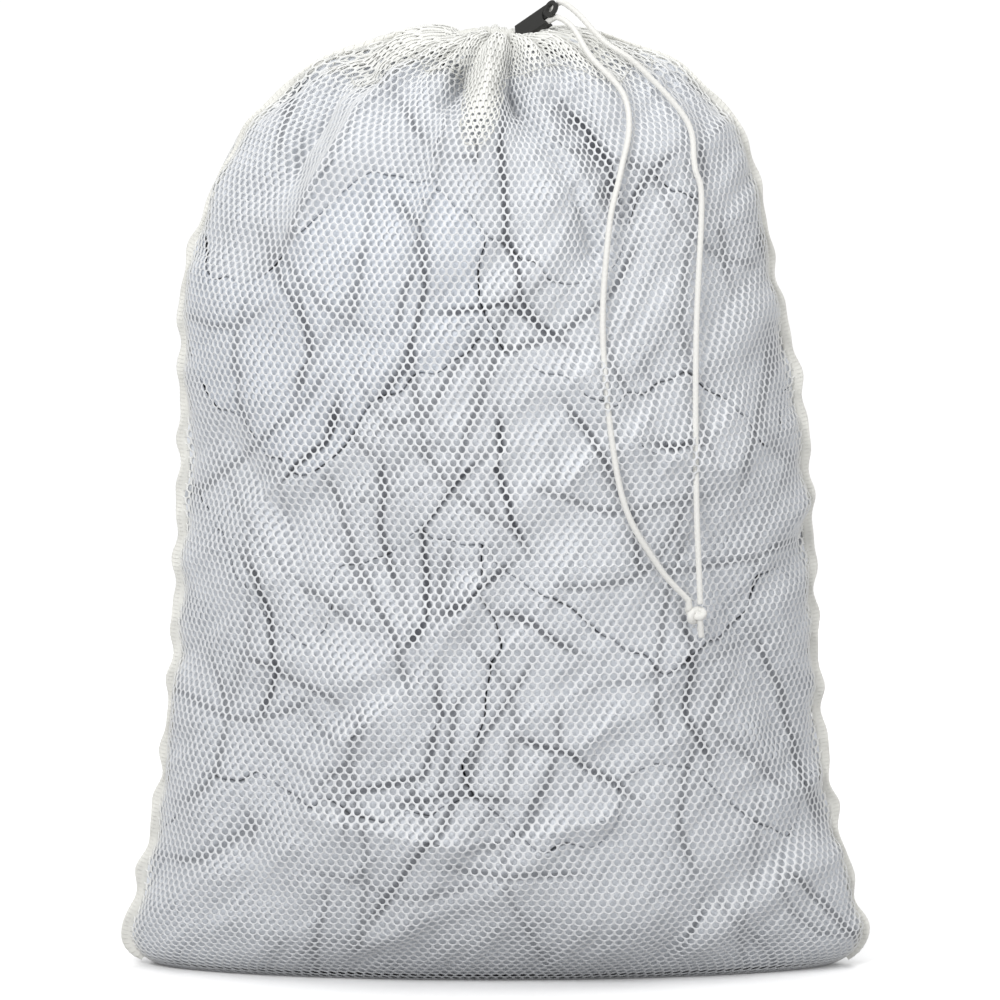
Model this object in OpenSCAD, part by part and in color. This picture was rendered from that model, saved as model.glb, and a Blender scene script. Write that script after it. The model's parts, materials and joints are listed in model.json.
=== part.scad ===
// A knitted mesh laundry bag, full of laundry, drawn shut and standing on its folded bottom.
// The origin is on the floor under the middle of the bag. +X is right, +Y is back, +Z is up.

/* [Bag] */
// Width of the filled bag at mid height
bag_w = 456; // [432:4:500]
// Depth of the filled bag, front to back
bag_d = 300; // [260:5:330]
// Height of the filled bag, up to the rim of its drawn-in mouth
bag_h = 696; // [660:2:740]
// How far each bottom corner stands out past the side above it
corner_flare = 50; // [35:1:56]
// How far the upper part of the bag leans to the left
upper_lean = 11; // [0:1:14]
// Thickness of the knitted mesh
mesh_t = 1.6; // [1.2:0.1:2.2]

/* [Side seams] */
// Width of the overlocked flange that stands out along each side
seam_w = 5.5; // [4:0.5:8]
// Thickness of the two mesh edges sewn together
seam_t = 2.4; // [1.8:0.1:3.2]
// How far the puckers push the flange's edge in and out
pucker = 1.6; // [0:0.1:2.2]
// Distance from one pucker to the next
pucker_pitch = 46; // [36:1:60]

/* [Hem] */
// Outer radius of the hem once it is drawn in
mouth_r = 46; // [42:1:52]
// Height of the gathered hem
hem_h = 13; // [11:0.5:14]
// Radius of the hole left in the middle of the drawn-in hem
hem_hole_r = 17; // [15:0.5:18]

/* [Cord] */
// Diameter of the braided drawcord
cord_d = 4.6; // [4:0.1:4.8]
// Straight length of the near cord past the mouth of the lock
near_run = 7; // [6:0.5:8]
// Straight length of the far cord past the mouth of the lock
far_run = 10.5; // [10:0.5:11.5]

/* [Cord lock] */
// Length of the lock's sleeve
sleeve_l = 31; // [28:0.5:34]
// Width of the sleeve
sleeve_w = 18; // [17.5:0.5:20]
// Thickness of the sleeve
sleeve_t = 7; // [6.8:0.1:8]
// Outer diameter of the wedge's pull ring
ring_d = 13; // [12:0.5:14]
// Diameter of the hole in the pull ring
ring_hole_d = 7.3; // [6:0.1:8]

/* [Hidden] */

$fn = 48;

white = "#e6e8ea";
ivory = "#e4e3d8";
cord_white = "#f0f0ee";
black = "#22221f";
linen = "#d9dde6";

// The skin of the bag: rings of points, close together at the foot and at the mouth
skin_rows = 20;
skin_cols = 40;
corner_h = 112;      // height over which the corner's flare dies away
lean_h = 515;        // height at which the bag leans most
lean_span = 75;      // how far above and below that the lean reaches
foot_round = 10;     // height of the rounding under each corner
foot_in = 0.12;      // share of the width that the rounding takes at the floor
belly_h = 45;        // height over which the flat foot swells to the full depth
belly_in = 0.53;     // share of the depth missing at the floor
mouth_at = [4, -8];  // middle of the drawn-in mouth, off the middle of the bag

// The flange along each side
seam_rows = 72;
seam_foot = 9;       // height at which the flange starts
seam_taken = 0.7;    // share of its width that the hem takes in at the mouth
thread_bite = 0.8;   // how far the overlock thread reaches in from the flange's edge
thread_over = 0.5;   // how far it stands out past the edge, and both faces together

// The hem and the cord inside it
hem_top = bag_h - 1;
hem_round = 3;
hem_cord_r = 28;
channel_r = cord_d / 2 + 0.7;
loop_open = 64;      // half the angle that the loop leaves open towards the lock
loop_step = 9;
stitch_d = 0.9;
stitch_l = 4.4;
stitch_in = 7;       // from the hem's outer edge in to the ring of stitches
stitch_count = 36;
stitch_open = 36;    // half the angle left without stitches, under the lock

// The lock, in a frame of its own: +X out along the cords, +Y across, +Z out of the wide face
lock_mouth = [39, -25, bag_h + 11.4];
lock_turn = -33.5;
lock_rise = 33.4;
lock_roll = 55.6;
cord_gap = 10.4;             // distance between the two cords' middles
bore_d = cord_d + 0.16;      // each cord runs in a bore with 0.08 mm to spare all round
slot_t = 4.4;
neck_back = sleeve_l + 3;    // from the lock's mouth back to the bend at the hem
ball_gap = 0.15;             // space between a cord's rounded end and the next length of cord
edge_chamfer = 1.4;
thumb_r = 8;                 // the rounded bite out of the sleeve's mouth
thumb_depth = 3;
wedge_l = 19;
wedge_tip = 3.2;
wedge_w = cord_gap - cord_d - 0.3;
wedge_t = 4;
tooth_pitch = 2.4;
tooth_depth = 0.35;
ring_t = 2.5;
ring_x = ring_d / 2 + 0.6;
ring_z = cord_d / 2 + 0.6;
link_l = 2.6;                // the block that joins the wedge to its ring

// The tails leave the lock in the air: places as [x, y, height over the bag's rim]
near_over = [[50.5, -36.5, 9.8], [58.5, -43, 3]];
far_over = [[50, -27.5, 21.4], [61.5, -30, 12.8]];

// Then they lie on the front of the bag: places as [x, height]
cord_clear = 2;              // space between a tail and the mesh
shoulder_z = bag_h - 96;     // where the tails turn from the top of the bag down its front
near_top = [[70, bag_h - 14], [93, bag_h - 39], [98, bag_h - 64]];
near_front = [[83, 560], [79, 478], [92, 372], [118, 318]];
far_top = [[80, bag_h - 6], [104, bag_h - 22], [140, bag_h - 62]];
far_front = [[151, 575], [147, 480], [147, 372]];
knot_at = [147, 283];
knot_r = 5;
knot_cord_d = 5.4;
knot_stub_l = 13;
knot_stub_lean = 14;         // how far each cut end leans away from the other
cord_sides = 12;
cord_steps = 5;

// The laundry fills the bag, a little inside the mesh
load_inset = 9;
load_rows = 12;
load_cols = 24;
load_gap = 3;
load_foot = 10;
load_top = bag_h - 41;
load_split = [14, 130, 320, 430, 560];  // heights at which one layer of laundry ends
load_middle = -6;                        // where the left and right pieces of a layer meet

// ---- The bag's outline ----

function rise(z) = min(1, max(0, z / bag_h));

function half_w(z) = (1 - foot_in * exp(-z / foot_round))
    * (mouth_r + (bag_w / 2 + corner_flare * exp(-pow(z / corner_h, 1.15)) - mouth_r)
        * sqrt(1 - pow(rise(z), 6)));

function half_d(z) = (1 - belly_in * exp(-z / belly_h))
    * (mouth_r + (bag_d / 2 - mouth_r) * pow(1 - pow(rise(z), 4), 0.7));

// The middle of the ring at this height: the upper part leans, and the mouth is off centre
function middle(z) = mouth_at * pow(rise(z), 30)
    - [upper_lean * exp(-pow((z - lean_h) / lean_span, 2)), 0];

// A little more pointed at the side seams than an ellipse, except at the round mouth
function pinch(z) = 1.2 - 0.2 * pow(rise(z), 8);

function skin(z, turn, inset = 0) = let (
    a = half_w(z) - inset,
    b = half_d(z) - inset,
    c = middle(z)
) [
    c[0] + a * cos(turn),
    c[1] + b * sign(sin(turn)) * pow(abs(sin(turn)), pinch(z)),
    inset + z * (bag_h - 2 * inset) / bag_h
];

// The front of the bag at [x, height], pushed out by the given distance
function front(place, out) = let (
    a = half_w(place[1]) + out,
    along = (place[0] - middle(place[1])[0]) / a
) [
    place[0],
    middle(place[1])[1] - (half_d(place[1]) + out) * pow(1 - along * along, pinch(place[1]) / 2),
    place[1]
];

function level(i, n, low, high) = low + (high - low) * (1 - cos(180 * i / n)) / 2;

// ---- Helpers ----

// The faces between ring number a and ring number b of n points each, seen from outside
function band(a, b, n) = [for (j = [0 : n - 1]) let (k = (j + 1) % n)
    each [[a * n + j, b * n + j, b * n + k], [a * n + j, b * n + k, a * n + k]]];

function unit(v) = v / norm(v);

// A Catmull-Rom curve through the points, leaving the first and reaching the last in a straight line
function curve(p, steps) = let (
    n = len(p),
    q = concat([2 * p[0] - p[1]], p, [2 * p[n - 1] - p[n - 2]])
) concat(
    [for (i = [1 : n - 1], k = [0 : steps - 1]) let (t = k / steps)
        (2 * q[i] + (q[i + 1] - q[i - 1]) * t
            + (2 * q[i - 1] - 5 * q[i] + 4 * q[i + 1] - q[i + 2]) * t * t
            + (3 * q[i] - q[i - 1] - 3 * q[i + 1] + q[i + 2]) * t * t * t) / 2],
    [p[n - 1]]
);

// A round cord along a path; side is any direction that the path never runs along.
// A rounded cord starts with half a ball about the path's first point.
module cord(path, side, d = cord_d, rounded = false) {
    n = len(path);
    start = unit(path[1] - path[0]);
    // Each station is [middle of the ring, direction along the cord, radius of the ring]
    cap = [for (turn = rounded ? [75, 50, 25] : [])
        [path[0] - d / 2 * sin(turn) * start, start, d / 2 * cos(turn)]];
    run = [for (i = [0 : n - 1])
        [path[i], unit(path[min(i + 1, n - 1)] - path[max(i - 1, 0)]), d / 2]];
    stations = concat(cap, run);
    rings = [for (s = stations) let (
        across = unit(cross(s[1], side)),
        up = cross(across, s[1])
    ) for (j = [0 : cord_sides - 1]) let (turn = 360 * j / cord_sides)
        s[0] + s[2] * (cos(turn) * across + sin(turn) * up)];
    end = len(stations) - 1;
    polyhedron(
        points = rings,
        faces = concat(
            [for (i = [0 : end - 1]) each band(i, i + 1, cord_sides)],
            [[for (j = [0 : cord_sides - 1]) j]],
            [[for (j = [cord_sides - 1 : -1 : 0]) end * cord_sides + j]]
        ),
        convexity = 6
    );
}

module at_lock() {
    translate(lock_mouth)
        rotate([0, 0, lock_turn])
            rotate([0, -lock_rise, 0])
                rotate([lock_roll, 0, 0])
                    children();
}

// The lock frame's directions and places, in the bag's frame
lock_out = [cos(lock_rise) * cos(lock_turn), cos(lock_rise) * sin(lock_turn), sin(lock_rise)];
lock_flat = [-sin(lock_turn), cos(lock_turn), 0];
lock_up = cross(lock_out, lock_flat);
lock_across = cos(lock_roll) * lock_flat + sin(lock_roll) * lock_up;

function cord_at(side, x) = lock_mouth + x * lock_out + side * cord_gap / 2 * lock_across;

// ---- The mesh ----

// One sheet of mesh, folded at the bottom: an open shell with its mouth at the top
module mesh_body() {
    n = skin_rows;
    outer = [for (i = [0 : n], j = [0 : skin_cols - 1])
        skin(level(i, n, 0, bag_h), 360 * j / skin_cols)];
    inner = [for (i = [0 : n], j = [0 : skin_cols - 1])
        skin(level(i, n, 0, bag_h), 360 * j / skin_cols, mesh_t)];
    color(white)
        polyhedron(
            points = concat(outer, inner),
            faces = concat(
                [for (i = [0 : n - 1]) each band(i, i + 1, skin_cols)],
                [for (i = [0 : n - 1]) each band(n + 2 + i, n + 1 + i, skin_cols)],
                band(n, 2 * n + 1, skin_cols),
                [[for (j = [0 : skin_cols - 1]) j]],
                [[for (j = [skin_cols - 1 : -1 : 0]) (n + 1) * skin_cols + j]]
            ),
            convexity = 10
        );
}

// A flat strip along one side of the bag, between two distances out from the mesh's edge
module side_strip(side, from, to, thick) {
    n = seam_rows;
    edge = [for (i = [0 : n]) let (z = level(i, n, seam_foot, bag_h - 1))
        [middle(z)[0] + side * half_w(z), z]];
    out = [for (i = [0 : n]) let (run = unit(edge[min(i + 1, n)] - edge[max(i - 1, 0)]))
        side * [run[1], -run[0]]];
    // The flange narrows towards the mouth, where the hem takes it in
    share = [for (i = [0 : n]) 1 - seam_taken * pow(rise(edge[i][1]), 12)];
    wave = [for (i = [0 : n]) pucker * sin(360 * edge[i][1] / pucker_pitch)];
    translate([0, thick / 2, 0])
        rotate([90, 0, 0])
            linear_extrude(thick)
                polygon(concat(
                    [for (i = [0 : n]) edge[i] + out[i] * (from > 0 ? (from + wave[i]) * share[i] : from)],
                    [for (i = [n : -1 : 0]) edge[i] + out[i] * (to + wave[i]) * share[i]]
                ));
}

module side_seam(side) {
    color(ivory) side_strip(side, -mesh_t / 2, seam_w, seam_t);
}

// Overlock thread wrapped round the flange's outer edge
module seam_thread(side) {
    color(white) side_strip(side, seam_w - thread_bite, seam_w + thread_over, seam_t + 2 * thread_over);
}

// ---- The hem ----

module around_mouth() {
    translate([mouth_at[0], mouth_at[1], 0]) children();
}

// The space that the lock, the cords and their swing take out of the gathered hem
module lock_space() {
    room = 1.5;
    behind = neck_back + cord_d;
    at_lock()
        translate([-behind, -sleeve_w / 2 - room, -sleeve_t / 2 - room])
            cube([behind + ring_d + link_l, sleeve_w + 2 * room, sleeve_l]);
}

module hem_casing() {
    outer_r = mouth_r - mesh_t / 2;
    bottom = hem_top - hem_h;
    color(ivory)
        difference() {
            around_mouth()
                rotate_extrude()
                    difference() {
                        union() {
                            translate([hem_hole_r + hem_round, bottom])
                                square([outer_r - hem_hole_r - 2 * hem_round, hem_h]);
                            translate([hem_hole_r, bottom + hem_round])
                                square([outer_r - hem_hole_r, hem_h - 2 * hem_round]);
                            for (x = [hem_hole_r + hem_round, outer_r - hem_round],
                                z = [bottom + hem_round, hem_top - hem_round])
                                translate([x, z]) circle(hem_round);
                        }
                        translate([hem_cord_r, hem_top - hem_h / 2]) circle(channel_r);
                    }
            lock_space();
        }
}

// A ring of short stitches that holds the hem's fold down
module hem_stitching() {
    color(white)
        around_mouth()
            for (i = [0 : stitch_count - 1])
                let (turn = 360 * i / stitch_count, off = abs(turn - lock_turn))
                    if (min(off, 360 - off) > stitch_open)
                        rotate([0, 0, turn])
                            translate([mouth_r - stitch_in, 0, hem_top + 0.55 * stitch_d])
                                rotate([90, 0, 0])
                                    cylinder(d = stitch_d, h = stitch_l, center = true);
}

// ---- The cord ----

// The loop inside the hem: round the channel, then in to each side of the neck
module drawcord_loop() {
    loop = [for (turn = [loop_open : loop_step : 360 - loop_open])
        hem_cord_r * [cos(turn + lock_turn), sin(turn + lock_turn), 0]];
    color(cord_white)
        around_mouth()
            translate([0, 0, hem_top - hem_h / 2])
                cord(loop, [0, 0, 1]);
}

// The straight cord that runs through the lock, with a round end where it bends at the hem
module cord_neck(side, run) {
    color(cord_white)
        at_lock()
            translate([-neck_back, side * cord_gap / 2, 0]) {
                sphere(d = cord_d);
                rotate([0, 90, 0]) cylinder(d = cord_d, h = neck_back + run);
            }
}

// A tail's turning point at the shoulder of the bag
function shoulder(top, low) = let (
    t = (top[1] - shoulder_z) / (top[1] - low[1])
) front([top[0] + (low[0] - top[0]) * t, shoulder_z], cord_d / 2 + cord_clear);

function draped(places) = [for (p = places) front(p, cord_d / 2 + cord_clear)];

function last(list) = list[len(list) - 1];

// From the straight run over the top of the bag to just short of the shoulder
module cord_shoulder(side, run, over, top, low) {
    end = shoulder(last(top), low[0]);
    before = unit(last(draped(top)) - end);
    path = curve(concat(
        [cord_at(side, run)],
        [for (p = over) p + [0, 0, bag_h]],
        draped(top),
        [end + (cord_d / 2 + ball_gap) * before]
    ), cord_steps);
    color(cord_white) cord(path, [0, 1, 0]);
}

// From the shoulder down the front to the knot, with a round end at the shoulder
module cord_tail(top, low, lean) {
    start = shoulder(last(top), low[0]);
    knot = front(knot_at, knot_r + knot_cord_d / 2 + cord_clear) + [lean, 0, knot_cord_d / 2 + 1];
    color(cord_white)
        cord(curve(concat([start], draped(low), [knot]), cord_steps), [0, 1, 0], rounded = true);
}

// Both tails tied in one round knot, with their cut ends below it
module end_knot() {
    centre = front(knot_at, knot_r + knot_cord_d / 2 + cord_clear);
    color(cord_white)
        translate(centre) {
            rotate_extrude() translate([0.92 * knot_r, 0]) circle(d = knot_cord_d);
            for (side = [-1, 1])
                translate([side * cord_d / 2, 0, 0])
                    rotate([0, 180 - side * knot_stub_lean, 0])
                        cylinder(d = cord_d, h = knot_stub_l);
        }
}

// ---- The cord lock ----

module lock_sleeve() {
    w = sleeve_w / 2;
    t = sleeve_t / 2;
    c = edge_chamfer;
    color(black)
        at_lock()
            difference() {
                translate([-sleeve_l, 0, 0])
                    rotate([90, 0, 90])
                        linear_extrude(sleeve_l)
                            polygon([
                                [-w, -t + c], [-w + c, -t], [w - c, -t], [w, -t + c],
                                [w, t - c], [w - c, t], [-w + c, t], [-w, t - c]
                            ]);
                for (side = [-1, 1])
                    translate([-sleeve_l - 1, side * cord_gap / 2, 0])
                        rotate([0, 90, 0])
                            cylinder(d = bore_d, h = sleeve_l + 2);
                translate([-sleeve_l - 1, -cord_gap / 2, -slot_t / 2])
                    cube([sleeve_l + 2, cord_gap, slot_t]);
                translate([thumb_r - thumb_depth, 0, -sleeve_t])
                    cylinder(r = thumb_r, h = 2 * sleeve_t);
            }
}

// The outline of the wedge that pinches the cords: a narrow tip and toothed sides
module wedge_outline() {
    teeth = floor(wedge_l / tooth_pitch) - 1;
    function side_at(x) = (wedge_tip + (wedge_w - wedge_tip) * (x + wedge_l) / wedge_l) / 2;
    right = [for (i = [1 : teeth]) let (x = -wedge_l + (i - 0.5) * tooth_pitch)
        each [[x, side_at(x) - tooth_depth], [x + 0.95 * tooth_pitch, side_at(x)]]];
    polygon(concat(
        [[-wedge_l, -wedge_tip / 3], [-wedge_l, wedge_tip / 3]],
        right,
        [[0, wedge_w / 2], [0, -wedge_w / 2]],
        [for (i = [len(right) - 1 : -1 : 0]) [right[i][0], -right[i][1]]]
    ));
}

// The wedge lies between the cords; a narrow link rises from its end to the pull ring above them
module lock_wedge() {
    color(black)
        at_lock()
            difference() {
                union() {
                    translate([0, 0, -wedge_t / 2]) linear_extrude(wedge_t) wedge_outline();
                    translate([-link_l / 2, -wedge_tip / 2, 0])
                        cube([link_l, wedge_tip, wedge_t / 2]);
                    translate([0, -wedge_tip / 2, 0])
                        cube([link_l, wedge_tip, ring_z + ring_t]);
                    translate([ring_x, 0, ring_z]) cylinder(d = ring_d, h = ring_t);
                }
                translate([ring_x, 0, ring_z - 1]) cylinder(d = ring_hole_d, h = ring_t + 2);
            }
}

// ---- The laundry ----

// The space inside the mesh as one solid, up to the top of the load
module load_form() {
    n = load_rows;
    color(linen)
        polyhedron(
            points = [for (i = [0 : n], j = [0 : load_cols - 1])
                skin(level(i, n, load_foot, load_top), 360 * j / load_cols, load_inset)],
            faces = concat(
                [for (i = [0 : n - 1]) each band(i, i + 1, load_cols)],
                [[for (j = [0 : load_cols - 1]) j]],
                [[for (j = [load_cols - 1 : -1 : 0]) n * load_cols + j]]
            ),
            convexity = 4
        );
}

// One piece of laundry: what the load holds between two heights and two places across
module laundry(low, high, left = -bag_w, right = bag_w) {
    intersection() {
        load_form();
        translate([left, -bag_d, low]) cube([right - left, 2 * bag_d, high - load_gap - low]);
    }
}

mesh_body();
side_seam(-1);  // left_seam
side_seam(1);  // right_seam
seam_thread(-1);  // left_seam_thread
seam_thread(1);  // right_seam_thread
hem_casing();
hem_stitching();
drawcord_loop();
cord_neck(-1, near_run);  // near_cord_neck
cord_neck(1, far_run);  // far_cord_neck
cord_shoulder(-1, near_run, near_over, near_top, near_front);  // near_cord_shoulder
cord_shoulder(1, far_run, far_over, far_top, far_front);  // far_cord_shoulder
cord_tail(near_top, near_front, -3);  // near_cord_tail
cord_tail(far_top, far_front, 3);  // far_cord_tail
end_knot();
lock_sleeve();
lock_wedge();
laundry(load_split[0], load_split[1]);  // folded_sheet
laundry(load_split[1], load_split[2], -bag_w, load_middle);  // left_towel
laundry(load_split[1], load_split[2], load_middle + load_gap);  // right_towel
laundry(load_split[2], load_split[3]);  // duvet_cover
laundry(load_split[3], load_split[4], -bag_w, -load_middle);  // left_shirt
laundry(load_split[3], load_split[4], load_gap - load_middle);  // right_pillowcase
laundry(load_split[4], load_top);  // top_towel
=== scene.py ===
"""The looks of a full knitted-mesh laundry bag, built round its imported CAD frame.
Metres, +Z up, front is -Y."""

import json
import math
from collections import namedtuple

import bpy
import numpy as np
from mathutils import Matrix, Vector


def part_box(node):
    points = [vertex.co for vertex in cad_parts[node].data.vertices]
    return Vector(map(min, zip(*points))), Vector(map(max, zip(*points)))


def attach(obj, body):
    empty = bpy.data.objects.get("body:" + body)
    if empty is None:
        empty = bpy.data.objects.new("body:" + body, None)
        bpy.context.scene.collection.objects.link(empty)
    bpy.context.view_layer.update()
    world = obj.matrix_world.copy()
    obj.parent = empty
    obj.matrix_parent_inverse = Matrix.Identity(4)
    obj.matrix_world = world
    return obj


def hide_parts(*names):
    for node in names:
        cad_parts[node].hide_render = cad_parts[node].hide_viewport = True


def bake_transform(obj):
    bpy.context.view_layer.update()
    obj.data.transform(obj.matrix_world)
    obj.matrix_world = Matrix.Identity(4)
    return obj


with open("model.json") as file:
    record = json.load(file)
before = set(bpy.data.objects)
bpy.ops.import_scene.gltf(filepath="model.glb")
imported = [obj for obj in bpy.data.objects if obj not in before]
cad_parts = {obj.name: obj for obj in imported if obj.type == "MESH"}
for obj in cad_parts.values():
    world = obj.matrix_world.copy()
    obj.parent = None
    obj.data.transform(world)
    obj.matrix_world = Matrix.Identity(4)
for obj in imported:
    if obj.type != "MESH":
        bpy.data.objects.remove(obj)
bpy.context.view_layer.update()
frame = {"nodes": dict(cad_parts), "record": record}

# ---- Sizes taken from the frame ----

shell_low, shell_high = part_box("mesh_body")
hem_low, hem_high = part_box("hem_casing")
CORNER_FLARE, FLARE_HEIGHT = 0.050, 0.112  # how far the bottom corners stand out, and up to where
FLARE_SEEN = 0.0392      # how much of that the widest row keeps
LEAN, LEAN_HEIGHT, LEAN_SPAN = 0.011, 0.515, 0.075  # how far the bag leans to the left, and where
SHELL_SHORT = 1.0096     # the CAD shell's deepest row falls short of its depth by this factor
BAG_H = shell_high.z
BAG_W = shell_high.x - shell_low.x - 2 * FLARE_SEEN
BAG_D = SHELL_SHORT * (shell_high.y - shell_low.y)
MOUTH = np.array([(hem_low.x + hem_high.x) / 2, (hem_low.y + hem_high.y) / 2])
MOUTH_R = (hem_high.x - hem_low.x) / 2 + 0.0008
FOOT_IN, FOOT_ROUND = 0.12, 0.010  # how far the foot's edge draws in, and up to where
BELLY_IN, BELLY_H = 0.53, 0.045  # how much shallower the foot is, and up to where
# The net is a little fuller than the CAD shell at the shoulders, and a little narrower beside the mouth
SHOULDER, SHOULDER_Z, SHOULDER_SPAN = 0.0042, 0.622, 0.036
NECK_IN, NECK_Z, NECK_SPAN = 0.0090, 0.684, 0.010

JOINTS = {joint["name"]: joint for joint in frame["record"]["behaviour"]["joints"]}
LOCK_OUT = np.array(JOINTS["lock_slide"]["axis"])
NECK_AT = np.array(JOINTS["neck_flex"]["pos_m"])

# ---- The net ----

HOLE_PITCH = 0.0074      # from hole to hole along a row
ROW_STEP = 0.00498       # from row to row; every second row is half a pitch over
HOLE_R = 0.00258
COLUMNS = 83
RIDGE, HOLLOW = 0.00045, 0.00035  # how far a strand's middle stands up, and its edges sink
TIGHT_PITCH, OPEN_PITCH = 0.0012, 0.0044  # holes close up from the second of these pitches down to the first
NET_FLOOR = 0.0003       # the lowest that a strand may lie
FLOOR = 0.0008           # height of the net's sheet over the floor
HEM_BAND = 0.031         # height of the doubled mesh below the mouth
HEM_FLAP = 0.046         # how much lower a flap of it hangs in the middle of the front
HEM_FLAP_AT, HEM_FLAP_SPAN = 0.478, 0.042  # where it hangs and half its width, as shares of the way across
HEM_LAYER = 0.0011       # from the outer layer of the hem in to the inner one
HEM_HOLES = 0.22         # size of the inner layer's holes against the net's
HEM_EDGE_HOLES, HEM_LOOSE = 1.12, 0.046  # size that they grow to at its lower edge, and over what height

# The net's unevenness: its depth, its longest and shortest waves, and how far below the rim it is full
BULGE, BULGE_WAVES, BULGE_FADE = 0.0032, (0.21, 0.09), 0.09
PUCKER, PUCKER_WAVES, PUCKER_FADE = 0.0012, (0.07, 0.035), 0.05
SEAM_PUCKER = 0.0022
SCALLOP_LENGTH, SCALLOP_START = 0.046, -1.9  # the waves of the side seams

# Pleats below the rim: how deep, how many in each half turn, how far below the rim they start and are full,
# and how uneven and how sharp they are
Pleats = namedtuple("Pleats", "depth count start full uneven sharp")
PLEATS = (
    Pleats(0.0075, 10, 0.090, 0.004, 0.16, 1.4),
    Pleats(0.0028, 21, 0.030, 0.000, 0.10, 1.2),
)

# ---- The load ----

LOAD_GAP = 0.0030        # from the net in to the laundry
LOAD_GRID = 0.0022       # size of the grid's quads
LOAD_FLOOR = 0.003       # how low the laundry lies
LOAD_SAG = 0.024         # how far it sags across the bag under the mouth
FOLD_DEPTH, WRINKLE_DEPTH, CREASE_DEPTH = 0.0016, 0.0010, 0.0055
CREASE_HALF = 0.006      # how far from a crease's line the cloth sinks
CREASE_LINE = (0.0042, 0.0014)  # how far from it the line of painted shade begins, and is full
CREASE_SHADE, CREASE_SHADE_HALF = 0.16, 0.009  # the soft painted shade round the line
CREASE_TAPER = 0.020     # over what length it fades at its ends
CREASE_STEP = 0.016      # how far a wandering crease runs before it turns
FAINT = (0.22, 0.62)     # how dark the painted shade of the faintest and the darkest of those is
ROLL_R, ROLL_R_GAPING = 0.0005, 0.0060  # radius in which an edge rolls in, and what is added where it gapes
LAYER_GAP = 0.0003       # half the gap between two layers
SIDE_GAPE = 0.45         # how far a piece's ends gape at the seams
PAINTED_WALL_SHADE = 0.6          # how dark the painted shade is on the cloth between two layers

# Where one layer of laundry ends and the next begins: (share of the way across, height, how far it gapes)
# from the floor to the mouth
LAYER_EDGES = (
    ((0, 0.003, 0), (1, 0.003, 0)),
    (
        (0, 0.100, 0), (0.16, 0.158, 0.7), (0.30, 0.132, 1), (0.47, 0.142, 0.6),
        (0.58, 0.100, 0.1), (0.74, 0.168, 0.2), (0.88, 0.112, 0.7), (1, 0.150, 0),
    ),
    (
        (0, 0.350, 0), (0.10, 0.330, 0.8), (0.22, 0.262, 0.2), (0.36, 0.332, 0.1), (0.50, 0.322, 0.3),
        (0.62, 0.272, 0.8), (0.76, 0.240, 1), (0.90, 0.300, 0.2), (1, 0.260, 0),
    ),
    (
        (0, 0.460, 0), (0.12, 0.405, 0.5), (0.24, 0.380, 0.7), (0.36, 0.446, 0.8), (0.50, 0.474, 0.1),
        (0.66, 0.440, 0.4), (0.80, 0.448, 0.9), (0.92, 0.400, 0.1), (1, 0.430, 0),
    ),
    (
        (0, 0.540, 0), (0.16, 0.520, 0.1), (0.28, 0.585, 0.3), (0.42, 0.600, 0.1),
        (0.52, 0.560, 0.6), (0.66, 0.520, 0.1), (0.80, 0.590, 0.3), (1, 0.540, 0),
    ),
    ((0, 0.690, 0), (1, 0.690, 0)),
)

CORD_R = 0.0022
CORD_STEP = 0.0009       # from ring to ring along a cord
BRAID_TURN = 0.0125      # length in which a strand of the braid goes once round
KNOT_LOOP = 0.0021       # a third of the knot's reach from its middle
KNOT_DOWN = 0.0062       # from the CAD knot's top down to the knot's middle

Fold = namedtuple("Fold", "depth width path")
Crease = namedtuple("Crease", "strength path")


def fold(depth, width, *places):
    """A fold of the net, in millimetres: how far it stands out (negative sinks in), how wide it is, and
    the places (x, height) on its line."""
    return Fold(depth / 1000, width / 1000, [(x / 1000, z / 1000) for x, z in places])


def crease(strength, *places):
    """A crease in the laundry: how dark its painted shade is, and the places (x, height) on its line in
    millimetres.
    """
    return Crease(strength, [(x / 1000, z / 1000) for x, z in places])


FRONT_FOLDS = (
    fold(-24, 7.5, (-26, 679), (-27, 668), (-36, 652)),
    fold(-14, 6, (11, 681), (12, 664), (16, 650)),
    fold(-12, 8, (10, 665), (18, 649), (46, 614), (60, 590), (76, 544)),
    fold(-11, 9, (45, 655), (70, 625), (95, 570)),
    fold(10, 6.5, (-72, 668), (-99, 646), (-120, 605), (-145, 557)),
    fold(11, 6.5, (-34, 674), (-36, 642), (-44, 606), (-55, 568)),
    fold(6, 12, (-4, 690), (-6, 660), (-14, 610)),
    fold(5, 8, (40, 690), (70, 655), (88, 610)),
    fold(4.5, 10, (-16, 694), (16, 694)),
    fold(-13, 9, (-94, 672), (-120, 655), (-150, 606)),
    fold(6, 12, (-10, 300), (-60, 230), (-110, 190)),
    fold(7, 16, (60, 460), (110, 400), (170, 380)),
    fold(-6, 14, (-200, 400), (-150, 340), (-130, 260)),
    fold(-6, 14, (150, 330), (190, 240), (220, 160)),
    fold(6, 14, (-130, 130), (-20, 110), (80, 130)),
)
BACK_FOLDS = (
    fold(-20, 8, (20, 694), (24, 668), (40, 640)),
    fold(-12, 7, (-20, 694), (-26, 660), (-40, 620)),
    fold(8, 10, (84, 664), (108, 636), (130, 580)),
    fold(7, 10, (-80, 664), (-106, 636), (-140, 580)),
    fold(-7, 10, (90, 676), (140, 636), (170, 590)),
    fold(6, 14, (-120, 420), (-60, 340), (20, 300)),
    fold(-6, 14, (150, 360), (110, 260), (120, 160)),
)

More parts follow.
